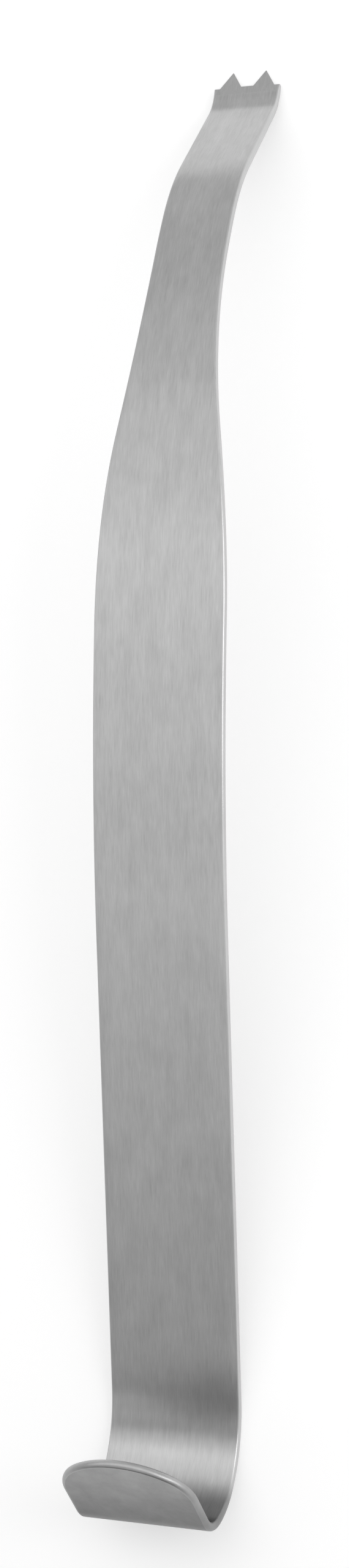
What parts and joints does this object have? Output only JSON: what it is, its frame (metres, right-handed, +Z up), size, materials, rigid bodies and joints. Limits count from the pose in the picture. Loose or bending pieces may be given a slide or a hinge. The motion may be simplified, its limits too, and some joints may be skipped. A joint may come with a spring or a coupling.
{
  "type": "handheld surgical retractor",
  "caption": "Hand-held bone retractor bent from brushed steel strip, with a narrow toothed blade at one end and a curled, round-ended finger hook at the other.",
  "frame": {"origin": "middle of the resting place: under the middle of the instrument's bounding box, on the surface it lies on", "axes": "+X across the strip, +Y along it towards the teeth, +Z up from the surface, out of the front face"},
  "size_m": [0.028, 0.3068, 0.0383],
  "materials": {
    "brushed_steel": "stainless steel sheet, brushed along its length, with polished edges"
  },
  "bodies": {
    "root": {"retractor": "brushed_steel"}
  },
  "joints": []
}
